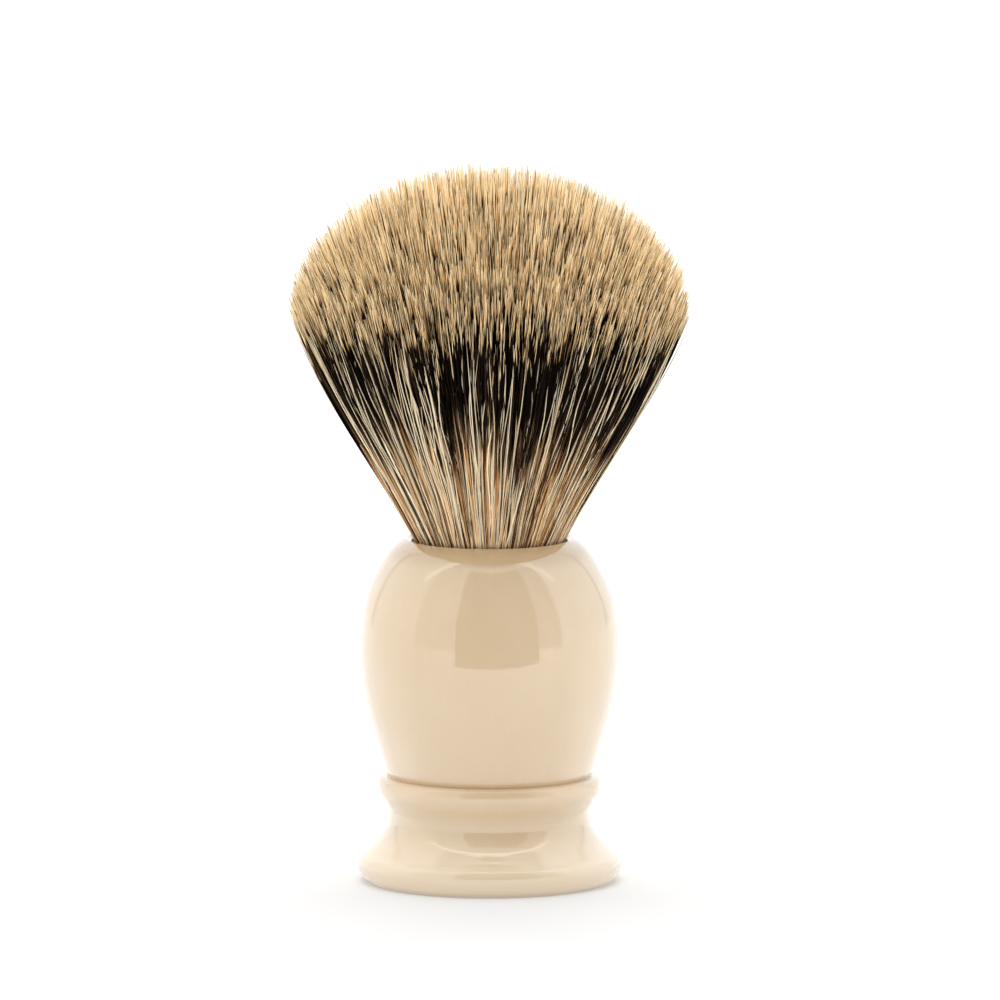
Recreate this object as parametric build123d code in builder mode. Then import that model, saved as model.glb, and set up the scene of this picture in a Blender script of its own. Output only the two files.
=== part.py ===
"""Shaving brush: a turned resin handle in two pieces with a steel weight, and a bound hair knot set in its socket.

Frame: millimetres, +Z up. The origin is the centre of the ring that the brush stands on.
"""

from build123d import *
from math import cos, radians, sin
import os

os.makedirs("parts", exist_ok=True)

# ---------------------------------------------------------------- driving sizes
KNOT_D = 22.0  # socket bore, the knot's nominal size
MOUTH_Z = 49.1  # height of the socket's mouth
SOCKET_DEPTH = 16.0
RIM_ROUND = 0.55  # round on the mouth's rim
FOOT_TOP_Z = 15.25  # face where the barrel sits on the foot

SPIGOT_R = 10.95  # barrel's spigot, glued in the foot's bore
SPIGOT_END_Z = 5.4
FOOT_BORE_R = 11.0
FOOT_WEB_Z = 5.2  # ledge under the spigot
FOOT_WEB_HOLE_R = 7.6
WEIGHT_BORE_R = 7.05
WEIGHT_BORE_TOP_Z = 29.2
WEIGHT_R = 7.0
WEIGHT_LEN = 16.0
DISC_RECESS_R = 13.2
DISC_RECESS_Z = 1.7
DISC_R = 13.1
DISC_BOTTOM_Z = 0.35

GLUE_T = 0.6
FERRULE_R = 10.9
FERRULE_WALL = 0.5
FERRULE_FLOOR = 0.6
FERRULE_H = 12.6
PLUG_H = 9.4
TIED_R = 9.45  # hair bundle where the thread binds it
THREAD_R = 0.36
THREAD_TURNS = 3

FLEX_R = 16.0  # sphere about the mouth's centre where the free hair meets the stiff root
FLEX_GAP = 0.3

# ---------------------------------------------------------------- profiles, as (radius, height)
FOOT_OUTER = [  # base ring, flange and its sloping top, up to the waist
    (17.2, 0.0),
    (18.2, 0.75),
    (18.64, 1.6),
    (18.76, 2.6),
    (18.66, 3.3),
    (18.33, 3.85),
    (17.73, 4.3),
    (17.05, 4.95),
    (16.38, 5.6),
    (15.6, 6.4),
    (14.95, 7.3),
    (14.54, 8.2),
]
WAIST_R = 14.4
WAIST_LOW_Z, WAIST_HIGH_Z = 8.9, 9.7
BEAD_OUTER = [  # bead above the waist, up to the crease
    (14.49, 10.3),
    (14.87, 11.2),
    (15.39, 12.0),
    (15.8, 12.8),
    (15.97, 13.6),
    (15.93, 14.25),
    (15.7, 14.8),
    (15.25, 15.15),
    (14.6, 15.25),
]
BARREL_OUTER = [
    (14.55, 15.25),
    (14.85, 15.9),
    (15.3, 17.3),
    (16.15, 20.2),
    (17.0, 23.1),
    (17.7, 26.0),
    (18.2, 29.0),
    (18.45, 32.0),
    (18.47, 34.5),
    (18.25, 37.4),
    (17.7, 40.3),
    (16.68, 43.1),
    (15.2, 45.9),
    (14.1, 47.4),
    (13.0, 48.45),
    (11.9, 49.1),
]
TUFT_OUTER = [  # free hair from the mouth to its widest point
    (10.85, 49.1),
    (12.75, 53.0),
    (15.95, 58.0),
    (19.0, 63.0),
    (21.9, 68.0),
    (24.65, 73.0),
    (26.65, 77.0),
    (27.8, 80.3),
    (28.2, 83.6),
]
TUFT_DOME = [  # tips, from the widest point to the crown
    (27.9, 86.1),
    (26.9, 88.4),
    (25.1, 91.1),
    (22.6, 93.6),
    (19.4, 96.0),
    (15.6, 98.2),
    (11.0, 100.1),
    (5.8, 101.4),
    (0.0, 101.8),
]

SOCKET_R = KNOT_D / 2
SOCKET_FLOOR_Z = MOUTH_Z - SOCKET_DEPTH
FERRULE_Z = SOCKET_FLOOR_Z + GLUE_T
PLUG_Z = FERRULE_Z + FERRULE_FLOOR
PLUG_TOP_Z = PLUG_Z + PLUG_H

# ---------------------------------------------------------------- handle_foot
with BuildPart() as handle_foot:
    with BuildSketch(Plane.XZ):
        with BuildLine():
            Spline(*FOOT_OUTER, (WAIST_R, WAIST_LOW_Z), tangents=((0.4, 0.3), (0, 1)), tangent_scalars=(0.5, 0.5))
            Line((WAIST_R, WAIST_LOW_Z), (WAIST_R, WAIST_HIGH_Z))
            Spline((WAIST_R, WAIST_HIGH_Z), *BEAD_OUTER, tangents=((0, 1), (-1, 0.15)), tangent_scalars=(0.5, 0.5))
            Polyline(
                BEAD_OUTER[-1],
                (FOOT_BORE_R, FOOT_TOP_Z),
                (FOOT_BORE_R, FOOT_WEB_Z),
                (FOOT_WEB_HOLE_R, FOOT_WEB_Z),
                (FOOT_WEB_HOLE_R, DISC_RECESS_Z),
                (DISC_RECESS_R, DISC_RECESS_Z),
                (DISC_RECESS_R, 0),
                FOOT_OUTER[0],
            )
        make_face()
    revolve(axis=Axis.Z)
    mouth_edge = handle_foot.edges().filter_by(GeomType.CIRCLE).group_by(Axis.Z)[0].sort_by(SortBy.RADIUS)[0]
    chamfer(mouth_edge, 0.3)
handle_foot.part.label = "handle_foot"

# ---------------------------------------------------------------- handle_barrel
with BuildPart() as handle_barrel:
    with BuildSketch(Plane.XZ):
        with BuildLine():
            Spline(*BARREL_OUTER, tangents=((0.42, 1), (-1, 0.42)), tangent_scalars=(0.5, 0.5))
            Polyline(
                BARREL_OUTER[-1],
                (SOCKET_R, MOUTH_Z),
                (SOCKET_R, SOCKET_FLOOR_Z),
                (0, SOCKET_FLOOR_Z),
                (0, WEIGHT_BORE_TOP_Z),
                (WEIGHT_BORE_R, WEIGHT_BORE_TOP_Z),
                (WEIGHT_BORE_R, SPIGOT_END_Z),
                (SPIGOT_R, SPIGOT_END_Z),
                (SPIGOT_R, FOOT_TOP_Z),
                BARREL_OUTER[0],
            )
        make_face()
    revolve(axis=Axis.Z)
    rim = handle_barrel.edges().filter_by(GeomType.CIRCLE).group_by(Axis.Z)[-1].sort_by(SortBy.RADIUS)[0]
    fillet(rim, RIM_ROUND)
    spigot_edge = handle_barrel.edges().filter_by(GeomType.CIRCLE).group_by(Axis.Z)[0].sort_by(SortBy.RADIUS)[-1]
    chamfer(spigot_edge, 0.5)
handle_barrel.part.label = "handle_barrel"

# ---------------------------------------------------------------- weight_slug
with BuildPart() as weight_slug:
    with BuildSketch(Plane.XY.offset(WEIGHT_BORE_TOP_Z - WEIGHT_LEN)):
        Circle(WEIGHT_R)
    extrude(amount=WEIGHT_LEN)
    chamfer(weight_slug.edges().filter_by(GeomType.CIRCLE), 0.5)
weight_slug.part.label = "weight_slug"

# ---------------------------------------------------------------- base_disc
with BuildPart() as base_disc:
    with BuildSketch(Plane.XY.offset(DISC_BOTTOM_Z)):
        Circle(DISC_R)
    extrude(amount=DISC_RECESS_Z - DISC_BOTTOM_Z)
    with BuildSketch(Plane.XY.offset(DISC_RECESS_Z)):
        Circle(FOOT_WEB_HOLE_R - 0.1)
        Circle(FOOT_WEB_HOLE_R - 1.3, mode=Mode.SUBTRACT)
    extrude(amount=2.2)
    lower_edge = base_disc.edges().filter_by(GeomType.CIRCLE).group_by(Axis.Z)[0]
    chamfer(lower_edge, 0.3)
base_disc.part.label = "base_disc"

# ---------------------------------------------------------------- knot_glue_bed
with BuildPart() as knot_glue_bed:
    with BuildSketch(Plane.XY.offset(SOCKET_FLOOR_Z)):
        Circle(FERRULE_R)
    extrude(amount=GLUE_T)
knot_glue_bed.part.label = "knot_glue_bed"

# ---------------------------------------------------------------- knot_ferrule
with BuildPart() as knot_ferrule:
    with BuildSketch(Plane.XY.offset(FERRULE_Z)):
        Circle(FERRULE_R)
    extrude(amount=FERRULE_H)
    with BuildSketch(Plane.XY.offset(PLUG_Z)):
        Circle(FERRULE_R - FERRULE_WALL)
    extrude(amount=FERRULE_H, mode=Mode.SUBTRACT)
    fillet(knot_ferrule.edges().filter_by(GeomType.CIRCLE).group_by(Axis.Z)[0], 0.4)
knot_ferrule.part.label = "knot_ferrule"

# ---------------------------------------------------------------- knot_resin_plug
with BuildPart() as knot_resin_plug:
    with BuildSketch(Plane.XY.offset(PLUG_Z)):
        Circle(FERRULE_R - FERRULE_WALL - 0.02)
    extrude(amount=PLUG_H)
knot_resin_plug.part.label = "knot_resin_plug"

# ---------------------------------------------------------------- knot_binding
THREAD_PITCH = 2 * THREAD_R + 0.03
WIND_R = TIED_R + THREAD_R + 0.04
WIND_Z = PLUG_TOP_Z + THREAD_R + 0.05
with BuildPart() as knot_binding:
    with BuildLine():
        winding = Helix(pitch=THREAD_PITCH, height=THREAD_PITCH * THREAD_TURNS, radius=WIND_R, center=(0, 0, WIND_Z))
    with BuildSketch(Plane(origin=winding @ 0, z_dir=winding % 0)):
        Circle(THREAD_R)
    sweep(path=winding, is_frenet=True)
knot_binding.part.label = "knot_binding"

# ---------------------------------------------------------------- hair_root
# The hair's outer line crosses the flex sphere at this angle from the axis.
RIM_ANGLE = 65.1
RIM_R = FLEX_R * sin(radians(RIM_ANGLE))
RIM_Z = MOUTH_Z + FLEX_R * cos(radians(RIM_ANGLE))
CROWN_Z = MOUTH_Z + FLEX_R
with BuildPart() as hair_root:
    with BuildSketch(Plane.XZ):
        with BuildLine():
            Line((0, PLUG_TOP_Z), (TIED_R, PLUG_TOP_Z))
            Line((TIED_R, PLUG_TOP_Z), (TIED_R, PLUG_TOP_Z + 2.9))
            Spline(
                (TIED_R, PLUG_TOP_Z + 2.9),
                (10.6, 48.2),
                (11.4, 50.1),
                (RIM_R, RIM_Z),
                tangents=((0.1, 1), (0.54, 0.84)),
            )
            CenterArc((0, MOUTH_Z), FLEX_R, 90 - RIM_ANGLE, RIM_ANGLE)
            Line((0, CROWN_Z), (0, PLUG_TOP_Z))
        make_face()
    revolve(axis=Axis.Z)
hair_root.part.label = "hair_root"

# ---------------------------------------------------------------- hair_loft
with BuildPart() as hair_loft:
    with BuildSketch(Plane.XZ):
        with BuildLine():
            Spline(*TUFT_OUTER, *TUFT_DOME, tangents=((0.5, 1), (-1, 0)))
            Line((0, TUFT_DOME[-1][1]), (0, MOUTH_Z))
            Line((0, MOUTH_Z), TUFT_OUTER[0])
        make_face()
    revolve(axis=Axis.Z)
    with Locations((0, 0, MOUTH_Z)):
        Sphere(FLEX_R + FLEX_GAP, mode=Mode.SUBTRACT)
hair_loft.part.label = "hair_loft"

for name in (
    handle_foot,
    handle_barrel,
    weight_slug,
    base_disc,
    knot_glue_bed,
    knot_ferrule,
    knot_resin_plug,
    knot_binding,
    hair_root,
    hair_loft,
):
    export_step(name.part, f"parts/{name.part.label}.step")
    print(name.part.label, round(name.part.volume, 1), name.part.is_valid, len(name.part.solids()))
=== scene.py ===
import math

import bpy
import numpy as np
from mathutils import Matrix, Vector
from mathutils.kdtree import KDTree


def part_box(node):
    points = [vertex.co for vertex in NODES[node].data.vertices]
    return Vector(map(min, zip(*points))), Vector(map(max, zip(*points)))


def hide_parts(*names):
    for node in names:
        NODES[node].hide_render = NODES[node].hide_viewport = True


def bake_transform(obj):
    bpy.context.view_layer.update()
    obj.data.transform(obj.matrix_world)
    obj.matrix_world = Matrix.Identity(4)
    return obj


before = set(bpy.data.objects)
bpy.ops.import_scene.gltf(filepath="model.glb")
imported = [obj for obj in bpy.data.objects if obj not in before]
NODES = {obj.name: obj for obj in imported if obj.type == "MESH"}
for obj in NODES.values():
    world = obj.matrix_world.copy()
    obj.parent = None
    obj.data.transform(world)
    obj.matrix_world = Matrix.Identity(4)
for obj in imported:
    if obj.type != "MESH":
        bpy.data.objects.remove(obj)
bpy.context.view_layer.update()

SCENE = bpy.context.scene
MM = 0.001

# Places read from the frame, in millimetres.
MOUTH_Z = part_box("handle_barrel")[1].z / MM
CROWN_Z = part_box("hair_loft")[1].z / MM
LOFT_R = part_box("hair_loft")[1].x / MM
FOOT_TOP_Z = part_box("handle_foot")[1].z / MM

# ------------------------------------------------------------------ camera
ELEVATION = math.radians(7.7)
MM_PER_PIXEL = 0.1419
DISTANCE = 3.0
target = Vector((0.00149, 0.0, 0.05452))
camera_data = bpy.data.cameras.new("camera")
camera_data.sensor_width = 36.0
camera_data.lens = 36.0 * DISTANCE / (MM_PER_PIXEL * MM * 1000)
camera_data.clip_start = 0.05
camera_data.clip_end = 300.0
camera = bpy.data.objects.new("camera", camera_data)
SCENE.collection.objects.link(camera)
camera.location = target + DISTANCE * Vector((0.0, -math.cos(ELEVATION), math.sin(ELEVATION)))
camera.rotation_euler = (target - camera.location).to_track_quat("-Z", "Y").to_euler()
SCENE.camera = camera
SCENE.view_settings.view_transform = "Standard"


# ------------------------------------------------------------------ node helpers
def new_material(name):
    material = bpy.data.materials.new(name)
    material.use_nodes = True
    tree = material.node_tree
    shader = next(n for n in tree.nodes if n.type == "BSDF_PRINCIPLED")
    return material, tree, shader


def node(tree, kind, **inputs):
    n = tree.nodes.new(kind)
    for key, value in inputs.items():
        n.inputs[key].default_value = value
    return n


def math_node(tree, operation, a, b=None, c=None, clamp=False):
    n = tree.nodes.new("ShaderNodeMath")
    n.operation = operation
    n.use_clamp = clamp
    for socket, value in zip(n.inputs, (a, b, c)):
        if value is None:
            continue
        if isinstance(value, bpy.types.NodeSocket):
            tree.links.new(value, socket)
        else:
            socket.default_value = value
    return n.outputs[0]


def smooth_step(tree, value, low, high):
    n = tree.nodes.new("ShaderNodeMapRange")
    n.interpolation_type = "SMOOTHSTEP"
    tree.links.new(value, n.inputs["Value"])
    for key, bound in (("From Min", low), ("From Max", high)):
        if isinstance(bound, bpy.types.NodeSocket):
            tree.links.new(bound, n.inputs[key])
        else:
            n.inputs[key].default_value = bound
    return n.outputs[0]


def mix(tree, factor, a, b, blend="MIX"):
    n = tree.nodes.new("ShaderNodeMix")
    n.data_type = "RGBA"
    n.blend_type = blend
    sockets = [n.inputs[0], n.inputs[6], n.inputs[7]]
    for socket, value in zip(sockets, (factor, a, b)):
        if isinstance(value, bpy.types.NodeSocket):
            tree.links.new(value, socket)
        elif isinstance(value, (int, float)):
            socket.default_value = value
        else:
            socket.default_value = (*value, 1.0)
    return n.outputs[2]


def ramp(tree, value, stops, interpolation="LINEAR"):
    n = tree.nodes.new("ShaderNodeValToRGB")
    n.color_ramp.interpolation = interpolation
    elements = n.color_ramp.elements
    while len(elements) < len(stops):
        elements.new(0.5)
    for element, (position, colour) in zip(elements, stops):
        element.position = position
        element.color = (*colour, 1.0) if hasattr(colour, "__len__") else (colour, colour, colour, 1.0)
    tree.links.new(value, n.inputs[0])
    return n.outputs[0]


def object_coords(tree, scale=(1, 1, 1)):
    coords = tree.nodes.new("ShaderNodeTexCoord")
    mapping = tree.nodes.new("ShaderNodeMapping")
    mapping.inputs["Scale"].default_value = scale
    tree.links.new(coords.outputs["Object"], mapping.inputs["Vector"])
    return mapping.outputs[0]


def noise(tree, vector, scale, detail=3.0, roughness=0.5):
    n = tree.nodes.new("ShaderNodeTexNoise")
    tree.links.new(vector, n.inputs["Vector"])
    n.inputs["Scale"].default_value = scale
    n.inputs["Detail"].default_value = detail
    n.inputs["Roughness"].default_value = roughness
    return n.outputs[0]


def bump(tree, shader, height, strength, distance):
    n = tree.nodes.new("ShaderNodeBump")
    n.inputs["Strength"].default_value = strength
    n.inputs["Distance"].default_value = distance
    tree.links.new(height, n.inputs["Height"])
    tree.links.new(n.outputs[0], shader.inputs["Normal"])


def srgb(r, g, b):
    """Linear colour of an sRGB triple given from 0 to 255."""
    return tuple((c / 12.92 if c <= 0.04045 else ((c + 0.055) / 1.055) ** 2.4) for c in (r / 255, g / 255, b / 255))


# ------------------------------------------------------------------ handle materials
def ivory_resin():
    """Cast and polished ivory resin: faint clouds and upright grain, painted shade in the crease, hairline polishing
    marks.
    """
    material, tree, shader = new_material("ivory_resin")
    coords = object_coords(tree)
    clouds = noise(tree, coords, 55.0, 4.0, 0.55)
    grain = noise(tree, object_coords(tree, (900.0, 900.0, 38.0)), 1.0, 3.0, 0.6)
    colour = mix(tree, smooth_step(tree, clouds, 0.35, 0.7), srgb(224, 200, 166), srgb(220, 195, 159))
    colour = mix(tree, math_node(tree, "MULTIPLY", smooth_step(tree, grain, 0.45, 0.8), 0.12), colour, srgb(232, 213, 181))
    position = tree.nodes.new("ShaderNodeSeparateXYZ")
    tree.links.new(coords, position.inputs[0])
    height = position.outputs[2]
    # Painted shade: a darker tan band is painted along the crease between barrel and foot, where shade falls.
    off_crease = math_node(tree, "ABSOLUTE", math_node(tree, "SUBTRACT", height, FOOT_TOP_Z * MM))
    crease_painted_shade = math_node(tree, "SUBTRACT", 1.0, smooth_step(tree, off_crease, 0.0002, 0.0011))
    colour = mix(tree, math_node(tree, "MULTIPLY", crease_painted_shade, 0.3), colour, srgb(216, 180, 134))
    # Painted light and shade: the flange is painted a little paler, standing in for more light on it, and the shoulder
    # round the mouth a little browner, standing in for the hair's shadow and reflection on it.
    colour = mix(tree, math_node(tree, "MULTIPLY", math_node(tree, "SUBTRACT", 1.0, smooth_step(tree, height, 0.0035, 0.0085)), 0.6), colour, srgb(238, 220, 193))
    colour = mix(tree, math_node(tree, "MULTIPLY", smooth_step(tree, height, MOUTH_Z * MM - 0.0032, MOUTH_Z * MM - 0.0012), 0.5), colour, srgb(196, 164, 120))
    tree.links.new(colour, shader.inputs["Base Color"])
    fine = noise(tree, object_coords(tree, (1.0, 1.0, 14.0)), 420.0, 2.0, 0.5)
    rough = ramp(tree, fine, [(0.3, 0.10), (0.75, 0.15)])
    tree.links.new(rough, shader.inputs["Roughness"])
    shader.inputs["IOR"].default_value = 1.5
    shader.inputs["Subsurface Weight"].default_value = 0.12
    shader.inputs["Subsurface Radius"].default_value = (1.0, 0.62, 0.35)
    shader.inputs["Subsurface Scale"].default_value = 0.0014
    shader.inputs["Coat Weight"].default_value = 1.0
    shader.inputs["Coat Roughness"].default_value = 0.02
    shader.inputs["Coat IOR"].default_value = 1.76
    bump(tree, shader, fine, 0.012, 0.00008)
    return material


def base_disc_resin():
    """Turned resin disc: rings left by the tool, satin."""
    material, tree, shader = new_material("base_disc_resin")
    coords = object_coords(tree)
    position = tree.nodes.new("ShaderNodeSeparateXYZ")
    tree.links.new(coords, position.inputs[0])
    radius = math_node(tree, "SQRT", math_node(tree, "ADD", math_node(tree, "MULTIPLY", position.outputs[0], position.outputs[0]), math_node(tree, "MULTIPLY", position.outputs[1], position.outputs[1])))
    rings = math_node(tree, "SINE", math_node(tree, "MULTIPLY", radius, 2 * math.pi / 0.00042))
    speckle = noise(tree, coords, 900.0, 4.0, 0.6)
    shade = math_node(tree, "ADD", math_node(tree, "MULTIPLY", rings, 0.18), speckle)
    colour = ramp(tree, shade, [(0.25, srgb(206, 184, 148)), (0.85, srgb(228, 209, 176))])
    tree.links.new(colour, shader.inputs["Base Color"])
    tree.links.new(ramp(tree, speckle, [(0.3, 0.34), (0.7, 0.5)]), shader.inputs["Roughness"])
    bump(tree, shader, shade, 0.25, 0.00003)
    return material


def steel():
    """Turned steel with its tool marks round the axis."""
    material, tree, shader = new_material("weight_steel")
    lines = noise(tree, object_coords(tree, (1.0, 1.0, 60.0)), 130.0, 3.0, 0.6)
    stains = noise(tree, object_coords(tree), 160.0, 3.0, 0.5)
    colour = ramp(tree, lines, [(0.3, (0.36, 0.36, 0.37)), (0.7, (0.58, 0.58, 0.59))])
    colour = mix(tree, math_node(tree, "MULTIPLY", smooth_step(tree, stains, 0.52, 0.72), 0.35), colour, (0.30, 0.24, 0.19))
    tree.links.new(colour, shader.inputs["Base Color"])
    tree.links.new(ramp(tree, lines, [(0.3, 0.24), (0.7, 0.42)]), shader.inputs["Roughness"])
    shader.inputs["Metallic"].default_value = 1.0
    bump(tree, shader, lines, 0.3, 0.00002)
    return material


def epoxy():
    """Amber adhesive with small bubbles and flow marks."""
    material, tree, shader = new_material("clear_epoxy")
    coords = object_coords(tree)
    flow = noise(tree, coords, 240.0, 3.0, 0.5)
    bubbles = tree.nodes.new("ShaderNodeTexVoronoi")
    tree.links.new(coords, bubbles.inputs["Vector"])
    bubbles.inputs["Scale"].default_value = 1100.0
    colour = ramp(tree, flow, [(0.3, srgb(176, 136, 78)), (0.7, srgb(208, 174, 118))])
    colour = mix(tree, math_node(tree, "SUBTRACT", 1.0, smooth_step(tree, bubbles.outputs[0], 0.1, 0.22)), colour, srgb(232, 214, 176))
    tree.links.new(colour, shader.inputs["Base Color"])
    tree.links.new(ramp(tree, flow, [(0.3, 0.12), (0.7, 0.26)]), shader.inputs["Roughness"])
    shader.inputs["IOR"].default_value = 1.55
    bump(tree, shader, bubbles.outputs[0], 0.2, 0.00005)
    return material


def ferrule_plastic():
    """Moulded black cup with a fine satin grain."""
    material, tree, shader = new_material("ferrule_plastic")
    grain = noise(tree, object_coords(tree), 1600.0, 4.0, 0.6)
    tree.links.new(ramp(tree, grain, [(0.3, (0.018, 0.018, 0.019)), (0.7, (0.036, 0.035, 0.035))]), shader.inputs["Base Color"])
    tree.links.new(ramp(tree, grain, [(0.3, 0.38), (0.7, 0.55)]), shader.inputs["Roughness"])
    bump(tree, shader, grain, 0.25, 0.00003)
    return material


def binding_thread():
    """Waxed twisted thread."""
    material, tree, shader = new_material("binding_thread")
    twist = tree.nodes.new("ShaderNodeTexWave")
    twist.bands_direction = "DIAGONAL"
    tree.links.new(object_coords(tree), twist.inputs["Vector"])
    twist.inputs["Scale"].default_value = 900.0
    twist.inputs["Distortion"].default_value = 2.0
    tree.links.new(ramp(tree, twist.outputs[1], [(0.2, srgb(170, 160, 136)), (0.8, srgb(222, 214, 196))]), shader.inputs["Base Color"])
    tree.links.new(ramp(tree, twist.outputs[1], [(0.2, 0.72), (0.8, 0.5)]), shader.inputs["Roughness"])
    bump(tree, shader, twist.outputs[1], 0.6, 0.00006)
    return material


def wear(name, material):
    """Puts the material on every slot of a CAD node."""
    ob = NODES[name]
    if not ob.material_slots:
        ob.data.materials.append(material)
    for s in ob.material_slots:
        s.material = material


resin = ivory_resin()
glue = epoxy()
wear("handle_barrel", resin)
wear("handle_foot", resin)
wear("base_disc", base_disc_resin())
wear("weight_slug", steel())
wear("knot_glue_bed", glue)
wear("knot_resin_plug", glue)
wear("knot_ferrule", ferrule_plastic())
wear("knot_binding", binding_thread())

# ------------------------------------------------------------------ hair material
COLUMNS = 128  # kinds of hair, one column of the strand map each
MAP_MM = 64.0  # length of hair that the strand map's height holds, from the tip down


def banded_hair(name, cream, band, pale_share):
    """Banded hair, drawn on the strand map: across it the kinds of hair, up it the distance from the tip.
    cream is the pale tip's mean length and band the dark band's, in millimetres. pale_share of the kinds have no band."""
    material, tree, shader = new_material(name)
    uv = tree.nodes.new("ShaderNodeUVMap")
    uv.uv_map = "OFBake"
    split = tree.nodes.new("ShaderNodeSeparateXYZ")
    tree.links.new(uv.outputs[0], split.inputs[0])
    kind = math_node(tree, "FLOOR", math_node(tree, "MULTIPLY", split.outputs[0], float(COLUMNS)))
    along = math_node(tree, "MULTIPLY", split.outputs[1], MAP_MM)

    def chance(seed):
        w = tree.nodes.new("ShaderNodeTexWhiteNoise")
        w.noise_dimensions = "1D"
        tree.links.new(math_node(tree, "ADD", kind, seed), w.inputs["W"])
        return w.outputs["Value"]

    drift = math_node(tree, "SUBTRACT", math_node(tree, "DIVIDE", kind, COLUMNS - 1.0), 0.5)
    own = [chance(0.5 + 200.0 * i) for i in range(8)]
    # Most pale tips are short, and some run right down over the band.
    cream_end = math_node(tree, "MULTIPLY", ramp(tree, own[0], [(0.0, 0.08), (0.7, 0.29), (0.9, 0.55), (1.0, 1.0)]), cream * 3.4)
    band_end = math_node(
        tree,
        "ADD",
        math_node(tree, "ADD", cream + band - 3.0, math_node(tree, "MULTIPLY", own[1], 5.0)),
        math_node(tree, "MULTIPLY", drift, 9.0),
    )

    tip = ramp(tree, own[2], [(0.0, srgb(255, 234, 194)), (0.45, srgb(252, 222, 170)), (0.8, srgb(242, 204, 144)), (1.0, srgb(224, 178, 116))])
    tip = mix(tree, smooth_step(tree, along, 0.0, 2.0), srgb(254, 232, 190), tip)
    dark = ramp(tree, own[3], [(0.0, srgb(10, 7, 5)), (0.6, srgb(22, 16, 11)), (1.0, srgb(64, 45, 29))])
    base = ramp(
        tree,
        own[4],
        [
            (0.0, srgb(255, 243, 220)),
            (0.3, srgb(254, 234, 196)),
            (0.55, srgb(244, 206, 152)),
            (0.7, srgb(230, 172, 106)),
            (0.8, srgb(176, 124, 76)),
            (0.9, srgb(70, 48, 31)),
            (1.0, srgb(26, 18, 12)),
        ],
    )
    to_dark = smooth_step(tree, along, cream_end, math_node(tree, "ADD", cream_end, 2.4))
    to_base = smooth_step(tree, along, math_node(tree, "SUBTRACT", band_end, 3.0), math_node(tree, "ADD", band_end, 5.5))
    umber = mix(tree, smooth_step(tree, to_dark, 0.1, 0.85), srgb(150, 104, 56), dark)
    colour = mix(tree, smooth_step(tree, to_dark, 0.0, 0.7), tip, umber)
    colour = mix(tree, smooth_step(tree, to_base, 0.0, 0.45), colour, srgb(112, 78, 48))
    colour = mix(tree, smooth_step(tree, to_base, 0.35, 1.0), colour, base)
    # Pale hairs have no band, and dark ones no pale tip.
    pale = math_node(tree, "GREATER_THAN", own[5], 1.0 - pale_share)
    colour = mix(tree, pale, colour, mix(tree, own[4], srgb(255, 240, 208), srgb(232, 198, 148)))
    black = math_node(tree, "LESS_THAN", own[5], 0.10)
    colour = mix(tree, math_node(tree, "MULTIPLY", black, 0.9), colour, srgb(32, 23, 18))
    # Streaks along each hair, and some hairs duller than others.
    streak = tree.nodes.new("ShaderNodeTexNoise")
    streak.noise_dimensions = "2D"
    place = tree.nodes.new("ShaderNodeCombineXYZ")
    tree.links.new(math_node(tree, "MULTIPLY", kind, 7.31), place.inputs[0])
    tree.links.new(math_node(tree, "MULTIPLY", along, 0.35), place.inputs[1])
    tree.links.new(place.outputs[0], streak.inputs["Vector"])
    streak.inputs["Scale"].default_value = 1.0
    streak.inputs["Detail"].default_value = 3.0
    shade = ramp(tree, streak.outputs[0], [(0.25, 0.8), (0.75, 1.15)])
    colour = mix(tree, 1.0, colour, shade, "MULTIPLY")
    colour = mix(tree, 1.0, colour, ramp(tree, own[6], [(0.0, (0.44, 0.39, 0.34)), (0.3, (0.93, 0.9, 0.86)), (0.65, (1.13, 1.12, 1.11)), (1.0, (1.33, 1.33, 1.33))]), "MULTIPLY")
    tree.links.new(colour, shader.inputs["Base Color"])
    tree.links.new(ramp(tree, streak.outputs[0], [(0.3, 0.42), (0.7, 0.58)]), shader.inputs["Roughness"])
    shader.inputs["IOR"].default_value = 1.5
    shader.inputs["Specular IOR Level"].default_value = 0.03
    return material


def guard_hair(name):
    """Whitish hair with no band."""
    material, tree, shader = new_material(name)
    uv = tree.nodes.new("ShaderNodeUVMap")
    uv.uv_map = "OFBake"
    stretch = tree.nodes.new("ShaderNodeMapping")
    stretch.inputs["Scale"].default_value = (float(COLUMNS) * 3.7, 22.0, 1.0)
    tree.links.new(uv.outputs[0], stretch.inputs["Vector"])
    streak = noise(tree, stretch.outputs[0], 1.0, 3.0, 0.5)
    tree.links.new(ramp(tree, streak, [(0.25, srgb(246, 220, 174)), (0.5, srgb(255, 236, 200)), (0.8, srgb(255, 247, 224))]), shader.inputs["Base Color"])
    tree.links.new(ramp(tree, streak, [(0.3, 0.34), (0.7, 0.46)]), shader.inputs["Roughness"])
    shader.inputs["IOR"].default_value = 1.5
    shader.inputs["Specular IOR Level"].default_value = 0.2
    return material


hair_outside = banded_hair("banded_hair_outside", 2.4, 17.8, 0.04)
hair_inside = banded_hair("banded_hair_inside", 3.3, 15.6, 0.04)
hair_guard = guard_hair("banded_hair_guard")

# ------------------------------------------------------------------ hair
rng = np.random.default_rng(417)
ROOT_R = 10.8
APEX_Z = 29.3  # every hair points away from here, below the mouth
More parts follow.
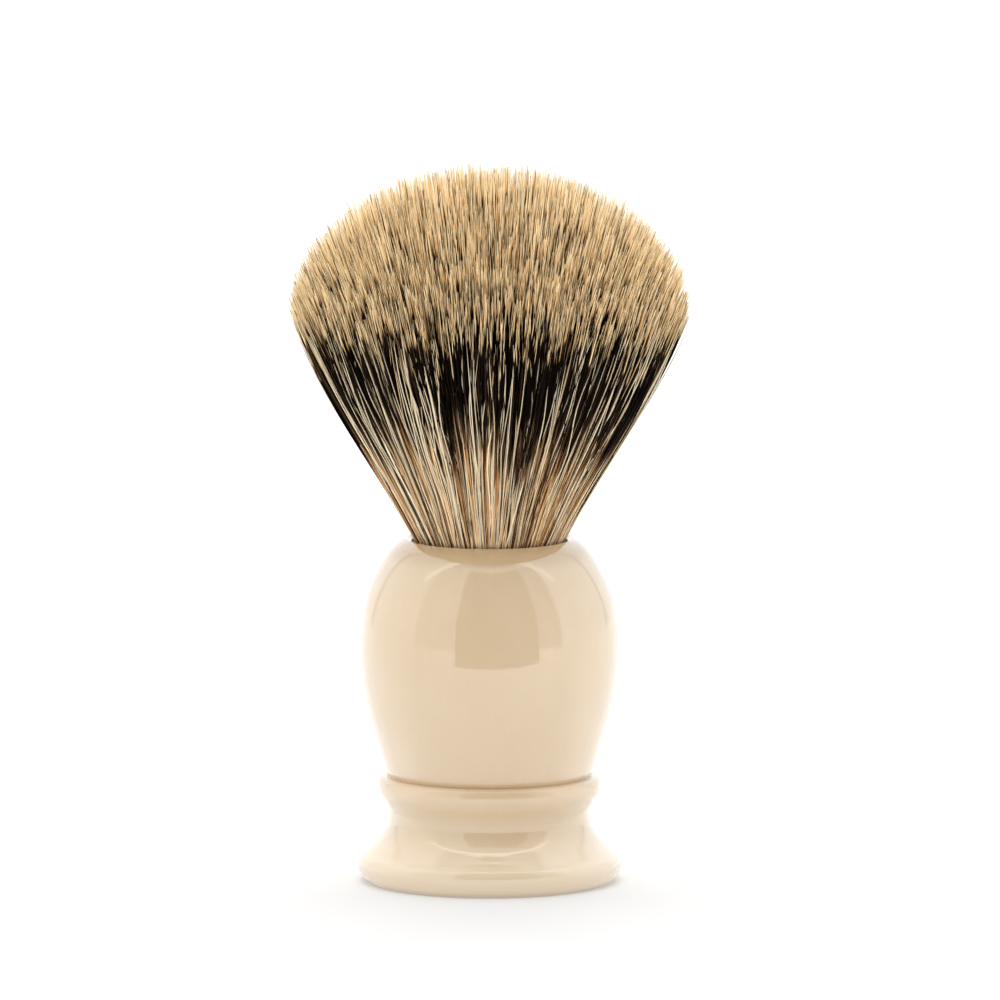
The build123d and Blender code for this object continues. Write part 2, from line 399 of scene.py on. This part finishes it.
# Where hairs of each slope end: (slope from the apex, height of the tip).
TIP_LINE = np.array(
    [
        (0.0, CROWN_Z),
        (0.0804, CROWN_Z - 0.4),
        (0.1554, CROWN_Z - 1.7),
        (0.2264, CROWN_Z - 3.6),
        (0.2909, CROWN_Z - 5.8),
        (0.3515, CROWN_Z - 8.4),
        (0.4061, CROWN_Z - 11.2),
        (0.4552, CROWN_Z - 14.0),
        (0.4912, CROWN_Z - 16.2),
        (0.5193, CROWN_Z - 18.2),
        (0.538, CROWN_Z - 20.2),
        (0.555, CROWN_Z - 22.0),
    ]
)


def waves(angle, periods, seed):
    """Smooth noise round the axis, about -1 to 1."""
    r = np.random.default_rng(seed)
    total = np.zeros_like(angle)
    for k in periods:
        total += np.sin(k * angle + r.uniform(0, 2 * np.pi)) * r.uniform(0.6, 1.0)
    return total / np.sqrt(len(periods))


def make_strands(count):
    """Roots, directions and tips of all hairs, in millimetres."""
    i = np.arange(count)
    rho = ROOT_R * np.sqrt((i + 0.5) / count)
    theta = i * 2.399963229728653 + rng.normal(0, 0.05, count)
    rho = np.clip(rho + rng.normal(0, 0.06, count), 0.02, ROOT_R + 0.05)
    slope = rho / (MOUTH_Z - APEX_Z)
    tip_z = np.interp(slope, TIP_LINE[:, 0], TIP_LINE[:, 1])
    # The rim stands higher at the front than at the sides.
    facing = np.exp(-((np.angle(np.exp(1j * (theta + np.pi / 2))) / 0.8) ** 2))
    tip_z += 2.6 * facing * np.clip((rho - 7.6) / 2.4, 0, 1)
    short = rng.random(count)
    length = 0.75 - np.abs(rng.normal(0, 1.0, count))
    length = np.where(short < 0.3, -rng.uniform(0.8, 6.5, count), length)
    length = np.where(short > 0.985, rng.uniform(0.5, 1.3, count), length)
    tip_r = slope * (tip_z - APEX_Z)
    reach = np.sqrt(tip_r**2 + (tip_z - APEX_Z) ** 2)
    tip_r, tip_z = tip_r * (1 + length / reach), APEX_Z + (tip_z - APEX_Z) * (1 + length / reach)
    out = np.stack([np.cos(theta), np.sin(theta)], 1)
    side = np.stack([-np.sin(theta), np.cos(theta)], 1)
    tips = np.concatenate([out * tip_r[:, None], tip_z[:, None]], 1)
    # Tips gather in small locks.
    centres = rng.choice(count, 1700, replace=False)
    tree = KDTree(len(centres))
    for n, c in enumerate(centres):
        tree.insert(tips[c], n)
    tree.balance()
    lock = np.array([tree.find(p)[1] for p in tips])
    pull = rng.uniform(0.0, 0.55, count)
    tips[:, :2] += (tips[centres[lock]] - tips)[:, :2] * pull[:, None]
    tips[:, 2] -= np.abs(rng.normal(0, 0.55, len(centres)))[lock] - 0.3
    # Each strays a little, and a few lie right across the others. None stands off the fan's side.
    around = rng.normal(0, 1, count) * np.where(rng.random(count) < 0.06, 2.4, 0.45)
    across = rng.normal(0, 1, count) * 0.5
    edge = np.clip((rho - 8.6) / 1.6, 0, 1)
    across = across * (1 - edge) + edge * (0.12 - 0.45 * np.abs(across))
    tips[:, :2] += out * across[:, None] + side * around[:, None]
    limit = tip_r + 0.35 + 0.6 * (1 - edge)
    far = np.hypot(tips[:, 0], tips[:, 1])
    tips[:, :2] *= np.minimum(1.0, limit / np.maximum(far, 1e-6))[:, None]
    return rho, theta, tips


def shape_strands(rho, theta, tips, rows, bow, wave):
    """Rows of points down each hair, from inside the socket to the tip."""
    count = len(rho)
    t = 1 - (1 - np.linspace(0, 1, rows - 1)) ** 1.4
    root = np.stack([rho * np.cos(theta), rho * np.sin(theta), np.full(count, MOUTH_Z)], 1)
    line = root[:, None] + (tips - root)[:, None] * t[None, :, None]
    side = np.stack([-np.sin(theta), np.cos(theta), np.zeros(count)], 1)
    out = np.stack([np.cos(theta), np.sin(theta), np.zeros(count)], 1)
    bend = rng.normal(0, bow, (count, 2))
    bend[:, 1] = -np.abs(bend[:, 1]) * 0.6
    arch = np.sin(np.pi * t)[None, :, None]
    line += arch * (bend[:, :1, None].transpose(0, 2, 1) * side[:, None] + bend[:, 1:, None].transpose(0, 2, 1) * out[:, None])
    swing = rng.normal(0, wave, count) * (1 + 3.0 * (rng.random(count) < 0.06))
    phase = rng.uniform(0, 2 * np.pi, count)
    cycles = rng.uniform(1.2, 2.6, count)
    ripple = np.sin(2 * np.pi * cycles[:, None] * t[None] + phase[:, None]) * (t * (1.2 - t))[None] * 4 * swing[:, None]
    line += ripple[:, :, None] * side[:, None]
    # The side of the fan bellies out under its widest point, unevenly, and the tips curl each its own way.
    belly = np.clip((rho - 8.6) / 1.6, 0, 1) * (0.8 + 0.22 * waves(theta, (7, 11, 19, 31), 9))
    line += (belly[:, None] * np.sin(np.pi * t**1.8)[None])[:, :, None] * out[:, None]
    curl = rng.normal(0, 0.42, count)
    line += (curl[:, None] * (t**4)[None])[:, :, None] * side[:, None]
    inside = root * np.array([0.9, 0.9, 1.0]) - np.array([0, 0, 3.4])
    return np.concatenate([inside[:, None], line], 1)


def hair_mesh(name, line, thick, column, material):
    """A mesh of closed three-sided hairs, with the strand map in its UVs."""
    count, rows, _ = line.shape
    step = np.linalg.norm(np.diff(line, axis=1), axis=2)
    from_tip = np.concatenate([np.cumsum(step[:, ::-1], axis=1)[:, ::-1], np.zeros((count, 1))], 1)
    total = from_tip[:, :1]
    taper = np.minimum(1.0, 0.3 + 0.7 * (from_tip / 7.0) ** 0.8) * (0.72 + 0.28 * np.clip((total - from_tip) / (0.5 * total), 0, 1))
    radius = 0.5 * thick[:, None] * taper
    d = np.gradient(line, axis=1)
    d /= np.linalg.norm(d, axis=2, keepdims=True)
    angle = np.arctan2(line[:, 1, 1], line[:, 1, 0])
    ref = np.stack([-np.sin(angle), np.cos(angle), np.zeros(count)], 1)[:, None]
    a = np.cross(d, ref)
    a /= np.linalg.norm(a, axis=2, keepdims=True)
    b = np.cross(d, a)
    turn = rng.uniform(0, 2 * np.pi, count)[:, None] + np.array([0, 2, 4])[None] * np.pi / 3
    ring = np.cos(turn)[:, None, :, None] * a[:, :, None] + np.sin(turn)[:, None, :, None] * b[:, :, None]
    verts = (line[:, :, None] + ring * radius[:, :, None, None]) * MM

    base = (np.arange(count) * rows * 3)[:, None, None]
    k = np.arange(rows - 1)[None, :, None] * 3
    j = np.arange(3)[None, None]
    j2 = (j + 1) % 3
    quads = np.stack([base + k + j, base + k + j2, base + k + 3 + j2, base + k + 3 + j], -1).reshape(count, -1)
    last = (rows - 1) * 3
    root_cap = np.stack([base[:, 0, 0], base[:, 0, 0] + 2, base[:, 0, 0] + 1], -1)
    tip_cap = np.stack([base[:, 0, 0] + last, base[:, 0, 0] + last + 1, base[:, 0, 0] + last + 2], -1)
    loops = np.concatenate([quads, root_cap, tip_cap], 1).reshape(-1)
    per = 3 * (rows - 1)
    sizes = np.tile(np.array([4] * per + [3, 3]), count)
    starts = np.concatenate([[0], np.cumsum(sizes)[:-1]])

    v = from_tip / MAP_MM
    u0 = (column + 0.2) / COLUMNS
    du = 0.6 / COLUMNS / 3
    uv = np.empty((count, rows - 1, 3, 4, 2))
    jj = np.arange(3)[None, None]
    uv[..., 0, 0] = uv[..., 3, 0] = u0[:, None, None] + jj * du
    uv[..., 1, 0] = uv[..., 2, 0] = u0[:, None, None] + (jj + 1) * du
    uv[..., 0, 1] = uv[..., 1, 1] = v[:, :-1, None]
    uv[..., 2, 1] = uv[..., 3, 1] = v[:, 1:, None]
    uv = uv.reshape(count, -1, 2)
    cap_u = u0[:, None] + np.array([0, 1.5, 3])[None] * du
    root_uv = np.stack([cap_u, np.broadcast_to(v[:, :1], cap_u.shape)], -1)
    tip_uv = np.stack([cap_u, np.broadcast_to(v[:, -1:], cap_u.shape)], -1)
    uvs = np.concatenate([uv, root_uv, tip_uv], 1).reshape(-1)

    mesh = bpy.data.meshes.new(name)
    mesh.vertices.add(count * rows * 3)
    mesh.vertices.foreach_set("co", verts.reshape(-1).astype(np.float32))
    mesh.loops.add(len(loops))
    mesh.loops.foreach_set("vertex_index", loops.astype(np.int32))
    mesh.polygons.add(len(sizes))
    mesh.polygons.foreach_set("loop_start", starts.astype(np.int32))
    mesh.update(calc_edges=True)
    mesh.polygons.foreach_set("use_smooth", np.ones(len(sizes), bool))
    layer = mesh.uv_layers.new(name="OFBake")
    layer.data.foreach_set("uv", uvs.astype(np.float32))
    mesh.validate()
    ob = bpy.data.objects.new(name, mesh)
    SCENE.collection.objects.link(ob)
    ob.data.materials.append(material)
    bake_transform(ob)
    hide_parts("hair_loft", "hair_root")
    return ob


def columns_for(theta, rho, seed):
    """Kind of each hair. Neighbours are alike, so that the dark band's edge is uneven in locks and not hair by hair."""
    local = 0.55 * waves(theta, (3, 5, 8, 13), seed) + 0.55 * waves(theta, (21, 34, 47), seed + 1)
    front = np.angle(np.exp(1j * (theta + np.pi / 2)))
    local -= 1.5 * np.exp(-((front + 0.02) / 0.10) ** 2)
    value = 0.5 + 0.2 * local + rng.normal(0, 0.16, len(theta))
    return np.floor(np.clip(value, 0.0, 0.9999) * COLUMNS)


STRANDS = 17000
rho, theta, tips = make_strands(STRANDS)
outer = rho > 8.2
hairs = []
theta = np.angle(np.exp(1j * theta))
for group, chosen, rows, pieces, material in (
    ("outer", outer, 13, 4, hair_outside),
    ("inner", ~outer, 8, 3, hair_inside),
):
    for piece in range(pieces):
        low, high = -np.pi + 2 * np.pi * piece / pieces, -np.pi + 2 * np.pi * (piece + 1) / pieces
        pick = np.where(chosen & (theta >= low) & (theta < high))[0]
        bow, wave = (0.34, 0.10) if group == "outer" else (0.24, 0.05)
        line = shape_strands(rho[pick], theta[pick], tips[pick], rows, bow, wave)
        thick = 0.175 * np.exp(rng.normal(0, 0.28, len(pick)))
        column = columns_for(theta[pick], rho[pick], 5)
        hairs.append(hair_mesh(f"hair_{group}_{piece + 1}", line, thick, column, material))

# Whitish guard hairs over the fan's side, some of them crossing it.
guards = 270
guard_rho = rng.uniform(10.3, 10.85, guards)
guard_theta = rng.uniform(-np.pi, np.pi, guards)
guard_slope = guard_rho / (MOUTH_Z - APEX_Z)
guard_z = np.interp(guard_slope, TIP_LINE[:, 0], TIP_LINE[:, 1]) - rng.uniform(0, 5.0, guards)
guard_r = guard_slope * (guard_z - APEX_Z) + np.where(rng.random(guards) < 0.25, rng.uniform(0.2, 0.9, guards), 0.15)
swerve = rng.normal(0, 1, guards) * np.where(rng.random(guards) < 0.25, 0.11, 0.035)
guard_tips = np.stack([guard_r * np.cos(guard_theta + swerve), guard_r * np.sin(guard_theta + swerve), guard_z], 1)
line = shape_strands(guard_rho, guard_theta, guard_tips, 15, 0.3, 0.16)
hairs.append(hair_mesh("hair_guard", line, 0.185 * np.exp(rng.normal(0, 0.15, guards)), np.floor(rng.uniform(0, COLUMNS, guards)), hair_guard))
print("hair triangles", sum(sum(len(p.vertices) - 2 for p in o.data.polygons) for o in hairs[:1]), "in the first piece")

# ------------------------------------------------------------------ stage and lights
# A pale tent lit from over the brush.
world = bpy.data.worlds.new("studio")
SCENE.world = world
world.use_nodes = True
tree = world.node_tree
background = next(n for n in tree.nodes if n.type == "BACKGROUND")
coords = tree.nodes.new("ShaderNodeTexCoord")
way = tree.nodes.new("ShaderNodeSeparateXYZ")
tree.links.new(coords.outputs["Generated"], way.inputs[0])
overhead = smooth_step(tree, way.outputs[2], 0.84, 0.9)
horizon = math_node(tree, "SUBTRACT", 1.0, smooth_step(tree, way.outputs[2], 0.04, 0.1))
level = math_node(tree, "ADD", math_node(tree, "ADD", 0.5, math_node(tree, "MULTIPLY", horizon, 0.52)), math_node(tree, "MULTIPLY", overhead, 1.8))
tree.links.new(level, background.inputs["Strength"])
background.inputs["Color"].default_value = (1.0, 1.0, 1.0, 1.0)


def between(tree, value, low, high, soft):
    up = smooth_step(tree, value, low - soft, low + soft)
    down = smooth_step(tree, value, high - soft, high + soft)
    return math_node(tree, "SUBTRACT", up, down)


def panel(tree, level, mask, value):
    """level, with value where the mask is 1."""
    return math_node(tree, "ADD", level, math_node(tree, "MULTIPLY", mask, math_node(tree, "SUBTRACT", value, level)))


def only_reflected(ob):
    """Only reflections see it."""
    ob.visible_camera = False
    ob.visible_diffuse = False
    ob.visible_shadow = False
    ob.visible_transmission = False
    ob.visible_volume_scatter = False


def glow_material(name):
    material = bpy.data.materials.new(name)
    material.use_nodes = True
    tree = material.node_tree
    tree.nodes.clear()
    out = tree.nodes.new("ShaderNodeOutputMaterial")
    glow = tree.nodes.new("ShaderNodeEmission")
    tree.links.new(glow.outputs[0], out.inputs["Surface"])
    return material, tree, glow


# The tent's walls as reflections see them: a bright sweep, a tall panel each side of the camera, and a dark room behind it.
steps_round, steps_up, tent_r = 96, 24, 1.3
corners = []
for j in range(steps_up):
    up = math.pi / 2 * j / steps_up
    for i in range(steps_round):
        turn = 2 * math.pi * i / steps_round
        corners.append((tent_r * math.cos(up) * math.sin(turn), -tent_r * math.cos(up) * math.cos(turn), tent_r * math.sin(up)))
corners.append((0, 0, tent_r))
faces = []
for j in range(steps_up - 1):
    for i in range(steps_round):
        k = (i + 1) % steps_round
        faces.append((j * steps_round + i, j * steps_round + k, (j + 1) * steps_round + k, (j + 1) * steps_round + i))
top_row = (steps_up - 1) * steps_round
faces += [(top_row + i, top_row + (i + 1) % steps_round, len(corners) - 1) for i in range(steps_round)]
mesh = bpy.data.meshes.new("tent")
mesh.from_pydata(corners, [], faces)
tent = bpy.data.objects.new("tent", mesh)
SCENE.collection.objects.link(tent)
material, tree, glow = glow_material("tent")
coords = tree.nodes.new("ShaderNodeTexCoord")
way = tree.nodes.new("ShaderNodeSeparateXYZ")
tree.links.new(coords.outputs["Object"], way.inputs[0])
azimuth = math_node(tree, "ARCTAN2", way.outputs[0], math_node(tree, "MULTIPLY", way.outputs[1], -1.0))
azimuth = math_node(tree, "MULTIPLY", azimuth, 180 / math.pi)
rise = math_node(tree, "MULTIPLY", math_node(tree, "ARCSINE", math_node(tree, "DIVIDE", way.outputs[2], tent_r, clamp=True)), 180 / math.pi)
turned = math_node(tree, "ABSOLUTE", azimuth)
low_down = math_node(tree, "SUBTRACT", 1.0, smooth_step(tree, rise, 58.0, 64.0))
level = panel(tree, 1.22, smooth_step(tree, turned, 130.0, 132.0), 1.22)
level = panel(tree, level, math_node(tree, "MULTIPLY", between(tree, turned, 128.5, 132.5, 1.0), low_down), 0.75)
level = panel(tree, level, math_node(tree, "MULTIPLY", between(tree, azimuth, -71.0, -30.6, 1.6), low_down), 0.8)
level = panel(tree, level, math_node(tree, "MULTIPLY", between(tree, azimuth, 45.3, 68.0, 1.6), low_down), 0.55)
level = panel(tree, level, math_node(tree, "MULTIPLY", between(tree, azimuth, -30.6, 45.3, 0.8), low_down), 0.05)
level = panel(tree, level, smooth_step(tree, rise, 60.0, 66.0), 0.6)
tree.links.new(level, glow.inputs["Strength"])
cool = ramp(tree, smooth_step(tree, azimuth, -60.0, 60.0), [(0.0, (1.0, 0.99, 0.97)), (1.0, (0.96, 1.0, 1.05))])
tree.links.new(cool, glow.inputs["Color"])
tent.data.materials.append(material)
only_reflected(tent)


def card(name, corners, colour, strength):
    """A flat card, seen only in reflections."""
    mesh = bpy.data.meshes.new(name)
    mesh.from_pydata([tuple(c) for c in corners], [], [(0, 1, 2, 3)])
    ob = bpy.data.objects.new(name, mesh)
    SCENE.collection.objects.link(ob)
    material, tree, glow = glow_material(name)
    glow.inputs["Color"].default_value = (*colour, 1.0)
    glow.inputs["Strength"].default_value = strength
    ob.data.materials.append(material)
    only_reflected(ob)
    return ob


floor_mesh = bpy.data.meshes.new("floor")
floor_mesh.from_pydata([(-60, -60, 0), (60, -60, 0), (60, 60, 0), (-60, 60, 0)], [], [(0, 1, 2, 3)])
floor = bpy.data.objects.new("floor", floor_mesh)
SCENE.collection.objects.link(floor)
paper, tree, shader = new_material("pale_floor")
shader.inputs["Base Color"].default_value = (0.56, 0.56, 0.56, 1.0)
shader.inputs["Roughness"].default_value = 0.9
shader.inputs["Specular IOR Level"].default_value = 0.1
# The floor glows by itself, more away from the brush: painted light that lightens the shadows on it.
shader.inputs["Emission Color"].default_value = (1.0, 1.0, 1.0, 1.0)
coords = tree.nodes.new("ShaderNodeTexCoord")
way = tree.nodes.new("ShaderNodeSeparateXYZ")
tree.links.new(coords.outputs["Object"], way.inputs[0])
out = math_node(tree, "SQRT", math_node(tree, "ADD", math_node(tree, "MULTIPLY", way.outputs[0], way.outputs[0]), math_node(tree, "MULTIPLY", way.outputs[1], way.outputs[1])))
level = math_node(tree, "ADD", 0.28, math_node(tree, "MULTIPLY", smooth_step(tree, out, 0.05, 0.8), 0.3))
tree.links.new(level, shader.inputs["Emission Strength"])
floor.data.materials.append(paper)


def softbox(name, place, aim, width, height, radiance):
    data = bpy.data.lights.new(name, "AREA")
    data.shape = "RECTANGLE"
    data.size = width
    data.size_y = height
    data.energy = radiance * math.pi * width * height
    ob = bpy.data.objects.new(name, data)
    SCENE.collection.objects.link(ob)
    ob.location = place
    ob.rotation_euler = (Vector(aim) - Vector(place)).to_track_quat("-Z", "Y").to_euler()
    ob.visible_camera = False
    return ob


for name, place, wide, tall, radiance in (
    ("softbox_key", (-0.12, -0.66, 0.5), 0.5, 0.4, 2.0),
    ("softbox_fill", (0.42, -0.50, 0.45), 0.4, 0.4, 0.5),
    ("softbox_back", (0.0, 0.42, 0.62), 0.6, 0.4, 3.0),
    ("softbox_left", (-0.66, 0.22, 0.34), 0.5, 0.5, 1.6),
    ("softbox_right", (0.66, 0.22, 0.34), 0.5, 0.5, 1.5),
):
    softbox(name, place, (0, 0, 0.06), wide, tall, radiance).visible_glossy = False
for side in (-1, 1):  # the sweep's floor, brighter in reflections either side than it looks
    ring = []
    for step in range(13):
        turn = math.radians(58 + 10 * step)
        for r in (0.034, 1.25):
            ring.append((side * r * math.sin(turn), -r * math.cos(turn), 0.0002))
    mesh = bpy.data.meshes.new("sweep_glow")
    mesh.from_pydata(ring, [], [(2 * i, 2 * i + 1, 2 * i + 3, 2 * i + 2) for i in range(12)])
    ob = bpy.data.objects.new("sweep_glow", mesh)
    SCENE.collection.objects.link(ob)
    material, tree, glow = glow_material("sweep_glow")
    coords = tree.nodes.new("ShaderNodeTexCoord")
    way = tree.nodes.new("ShaderNodeSeparateXYZ")
    tree.links.new(coords.outputs["Object"], way.inputs[0])
    sideways = math_node(tree, "ARCTAN2", math_node(tree, "ABSOLUTE", way.outputs[0]), math_node(tree, "MULTIPLY", way.outputs[1], -1.0))
    level = math_node(tree, "ADD", 1.05, math_node(tree, "MULTIPLY", smooth_step(tree, sideways, math.radians(58), math.radians(92)), 0.25))
    tree.links.new(level, glow.inputs["Strength"])
    ob.data.materials.append(material)
    only_reflected(ob)
card("strip", [(-0.95, -0.20, 0.75), (0.95, -0.20, 0.75), (0.95, -0.12, 0.75), (-0.95, -0.12, 0.75)], (1.0, 1.0, 1.0), 1.9)
card("flag", [(-0.064, -0.118, 0.0142), (0.108, -0.118, 0.0142), (0.108, -0.118, 0.06), (-0.064, -0.118, 0.06)], (1.0, 0.94, 0.88), 0.05)
